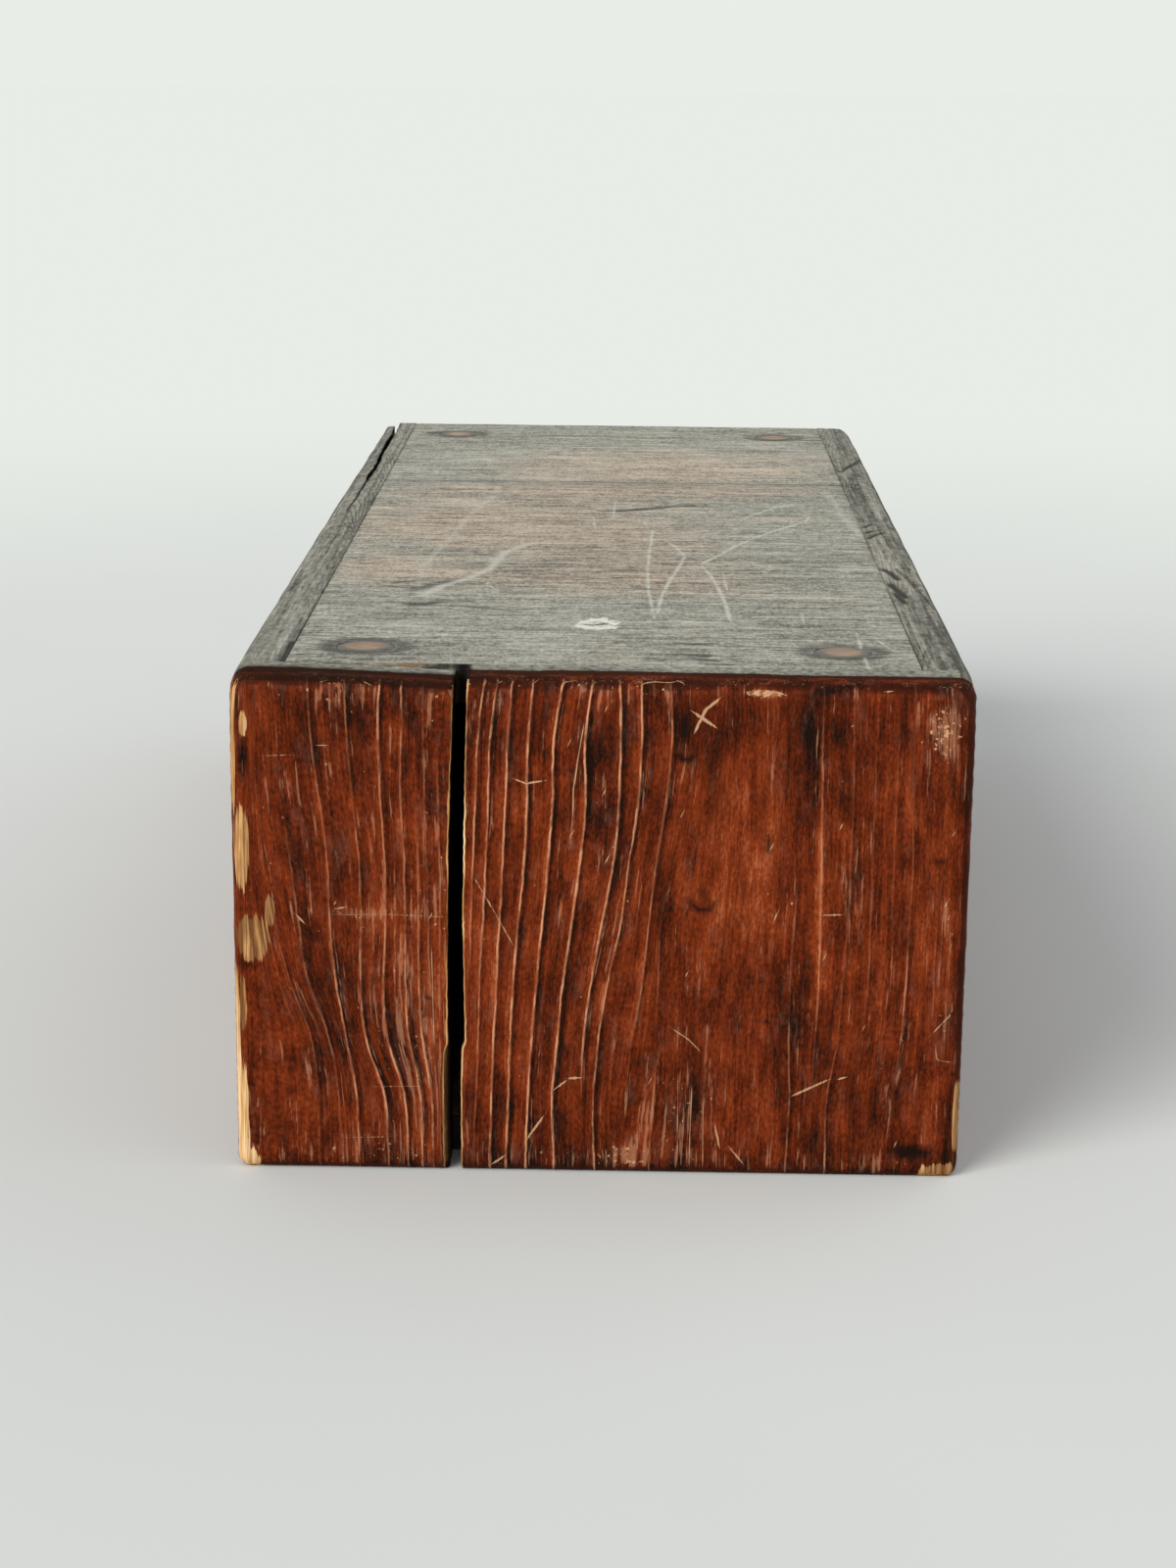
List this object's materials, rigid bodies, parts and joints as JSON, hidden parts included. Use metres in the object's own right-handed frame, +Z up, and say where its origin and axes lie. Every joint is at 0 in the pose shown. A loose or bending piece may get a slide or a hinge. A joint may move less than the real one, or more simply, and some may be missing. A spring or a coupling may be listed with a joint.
{
  "type": "wooden file box",
  "caption": "Long wooden file box with a flush sliding lid of cross-grained boards, worn red-brown varnish and a split front board.",
  "frame": {"origin": "on the floor under the middle of the box", "axes": "+X to the right seen from the split front, +Y along the box from the front to the back, +Z up"},
  "size_m": [0.182, 0.46, 0.128],
  "materials": {
    "stained_wood": "worn red-brown varnish on softwood",
    "greyed_wood": "bare softwood, greyed and scratched",
    "bare_wood": "bare softwood, darkened with age",
    "plug_wood": "bare brown wood",
    "iron": "dull rusted iron"
  },
  "bodies": {
    "box": {"left_side_board": "stained_wood", "right_side_board": "stained_wood", "front_board_left": "stained_wood", "front_board_right": "stained_wood", "back_board": "stained_wood", "bottom_board_front": "bare_wood", "bottom_board_middle": "bare_wood", "bottom_board_back": "bare_wood", "front_nails": "iron", "back_nails": "iron", "bottom_nails": "iron"},
    "lid": {"lid_board_front": "greyed_wood", "lid_board_middle": "greyed_wood", "lid_board_back": "greyed_wood", "lid_batten_left": "bare_wood", "lid_batten_right": "bare_wood", "lid_screws": "iron", "lid_plugs": "plug_wood"}
  },
  "joints": [
    {"name": "lid_slide", "type": "slide", "parent": "box", "child": "lid", "axis": [0, 1, 0], "range_m": [0, 0.45]}
  ]
}
